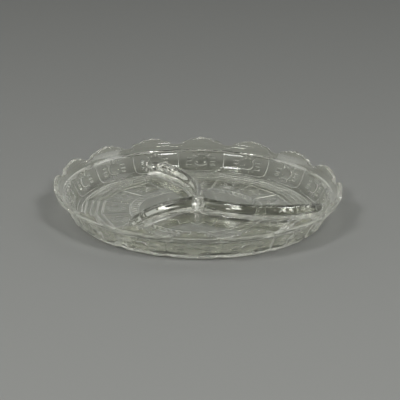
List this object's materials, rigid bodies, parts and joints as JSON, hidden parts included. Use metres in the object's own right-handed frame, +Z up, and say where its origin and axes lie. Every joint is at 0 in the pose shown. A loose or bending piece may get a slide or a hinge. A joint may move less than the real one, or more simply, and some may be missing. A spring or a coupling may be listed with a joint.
{
  "type": "relish tray",
  "caption": "Round shallow pressed-glass relish tray with a scalloped lip and curved dividers that part it into compartments.",
  "frame": {"origin": "middle of the underside, on the surface that the tray rests on", "axes": "+Z up, square to the floor of the tray; +X and +Y each through the middle of a panel, with the back divider starting close to +Y"},
  "size_m": [0.252, 0.252, 0.0305],
  "materials": {
    "clear_pressed_glass": "clear soda-lime glass, pressed and fire-polished, with a faint grey-green tint in its thick edges"
  },
  "bodies": {
    "root": {"floor_plate": "clear_pressed_glass", "side_wall": "clear_pressed_glass", "scalloped_rim": "clear_pressed_glass", "centre_post": "clear_pressed_glass", "divider_back": "clear_pressed_glass", "divider_left": "clear_pressed_glass", "divider_right": "clear_pressed_glass"}
  },
  "joints": []
}
